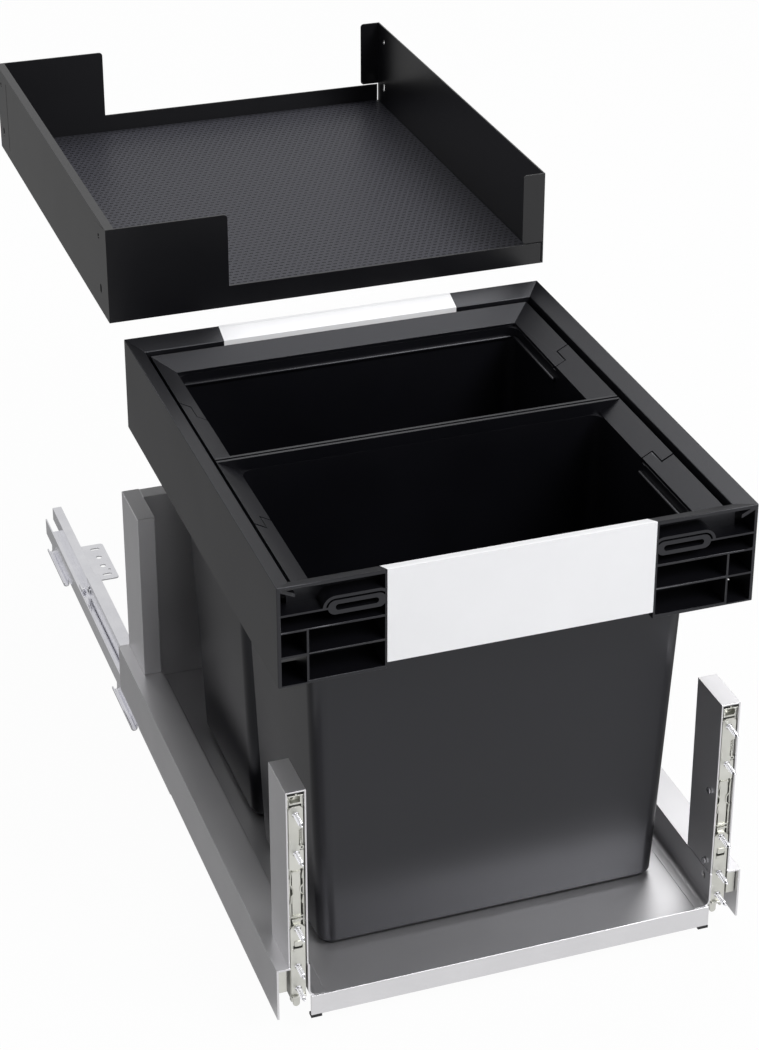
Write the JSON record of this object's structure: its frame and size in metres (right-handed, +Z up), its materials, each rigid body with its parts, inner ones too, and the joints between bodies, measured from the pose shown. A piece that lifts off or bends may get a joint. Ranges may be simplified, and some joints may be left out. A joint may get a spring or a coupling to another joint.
{
  "type": "pull out trash cabinet",
  "caption": "Pull-out waste bin unit for a kitchen base cabinet: steel drawer on full-extension runners, lift-out bins in a frame, shelf tray above.",
  "frame": {"origin": "middle of the four screw holes, on the underside of the two runner mounting plates", "axes": "+Z up, -Y towards the user, the way the drawer opens, +X to the user's right"},
  "size_m": [0.362, 0.8308, 0.4525],
  "materials": {
    "tray_black": "fine textured powder coat",
    "mat_black": "satin with a fine raised pattern",
    "zinc": "bright zinc plate",
    "cage_plastic": "plain",
    "steel_silver": "silver-grey satin coat",
    "fixing_zinc": "yellowish zinc plate",
    "rubber_black": "matt",
    "frame_black": "fine grained, satin",
    "panel_white": "smooth satin",
    "bin_black": "satin"
  },
  "bodies": {
    "cabinet_side": {"tray_shell": "tray_black", "tray_mat": "mat_black", "runner_fixed_left": "zinc", "runner_fixed_right": "zinc", "runner_hooks_left": "zinc", "runner_hooks_right": "zinc", "runner_plate_left": "zinc", "runner_plate_right": "zinc"},
    "drawer": {"base_pan": "steel_silver", "back_wall": "steel_silver", "side_profile_left": "steel_silver", "side_profile_right": "steel_silver", "front_bracket_left": "steel_silver", "front_bracket_right": "steel_silver", "rear_bracket_left": "steel_silver", "rear_bracket_right": "steel_silver", "runner_drawer_left": "zinc", "runner_drawer_right": "zinc", "runner_cap_left": "fixing_zinc", "runner_cap_right": "fixing_zinc", "fixing_rail_left": "fixing_zinc", "fixing_rail_right": "fixing_zinc", "fixing_plate_upper_left": "fixing_zinc", "fixing_plate_upper_right": "fixing_zinc", "fixing_plate_lower_left": "fixing_zinc", "fixing_plate_lower_right": "fixing_zinc", "fixing_link_left": "fixing_zinc", "fixing_link_right": "fixing_zinc", "fixing_latch_left": "fixing_zinc", "fixing_latch_right": "fixing_zinc", "door_screws_left": "zinc", "door_screws_right": "zinc", "adjust_screws_left": "zinc", "adjust_screws_right": "zinc", "rubber_feet": "rubber_black", "frame_left": "frame_black", "frame_right": "frame_black", "frame_front_panel": "panel_white", "frame_rear_panel": "panel_white"},
    "runner_middles": {"runner_middle_left": "zinc", "runner_middle_right": "zinc"},
    "lower_cages": {"cage_lower_left": "cage_plastic", "cage_lower_right": "cage_plastic", "rollers_lower_left": "zinc", "rollers_lower_right": "zinc"},
    "upper_cages": {"cage_upper_left": "cage_plastic", "cage_upper_right": "cage_plastic", "rollers_upper_left": "zinc", "rollers_upper_right": "zinc"},
    "lever_left": {"release_lever_left": "fixing_zinc"},
    "lever_right": {"release_lever_right": "fixing_zinc"},
    "front_bin": {"bin_front": "bin_black"},
    "rear_bin": {"bin_rear": "bin_black"},
    "front_handle": {"handle_front": "bin_black"},
    "rear_handle": {"handle_rear": "bin_black"}
  },
  "joints": [
    {"name": "drawer_slide", "type": "slide", "parent": "cabinet_side", "child": "drawer", "axis": [0, -1, 0], "range_m": [-0.278, 0.172]},
    {"name": "middle_slide", "type": "slide", "parent": "cabinet_side", "child": "runner_middles", "axis": [0, -1, 0], "range_m": [-0.139, 0.086]},
    {"name": "lower_cage_slide", "type": "slide", "parent": "cabinet_side", "child": "lower_cages", "axis": [0, -1, 0], "range_m": [-0.0695, 0.043]},
    {"name": "upper_cage_slide", "type": "slide", "parent": "cabinet_side", "child": "upper_cages", "axis": [0, -1, 0], "range_m": [-0.2085, 0.129]},
    {"name": "front_bin_lift", "type": "slide", "parent": "drawer", "child": "front_bin", "axis": [0, 0, 1], "range_m": [0, 0.345]},
    {"name": "rear_bin_lift", "type": "slide", "parent": "drawer", "child": "rear_bin", "axis": [0, 0, 1], "range_m": [0, 0.345]},
    {"name": "front_handle_hinge", "type": "hinge", "parent": "front_bin", "child": "front_handle", "pos_m": [0, -0.528, 0.3223], "axis": [-1, 0, 0], "range_deg": [0, 90]},
    {"name": "rear_handle_hinge", "type": "hinge", "parent": "rear_bin", "child": "rear_handle", "pos_m": [0, -0.3626, 0.3223], "axis": [1, 0, 0], "range_deg": [0, 90]},
    {"name": "left_lever_hinge", "type": "hinge", "parent": "drawer", "child": "lever_left", "pos_m": [-0.162, -0.6371, 0.0061], "axis": [-1, 0, 0], "range_deg": [0, 30]},
    {"name": "right_lever_hinge", "type": "hinge", "parent": "drawer", "child": "lever_right", "pos_m": [0.162, -0.6371, 0.0061], "axis": [-1, 0, 0], "range_deg": [0, 30]}
  ],
  "couplings": [
    {"joint": "middle_slide", "follows": "drawer_slide", "ratio": 0.5},
    {"joint": "lower_cage_slide", "follows": "drawer_slide", "ratio": 0.25},
    {"joint": "upper_cage_slide", "follows": "drawer_slide", "ratio": 0.75}
  ]
}
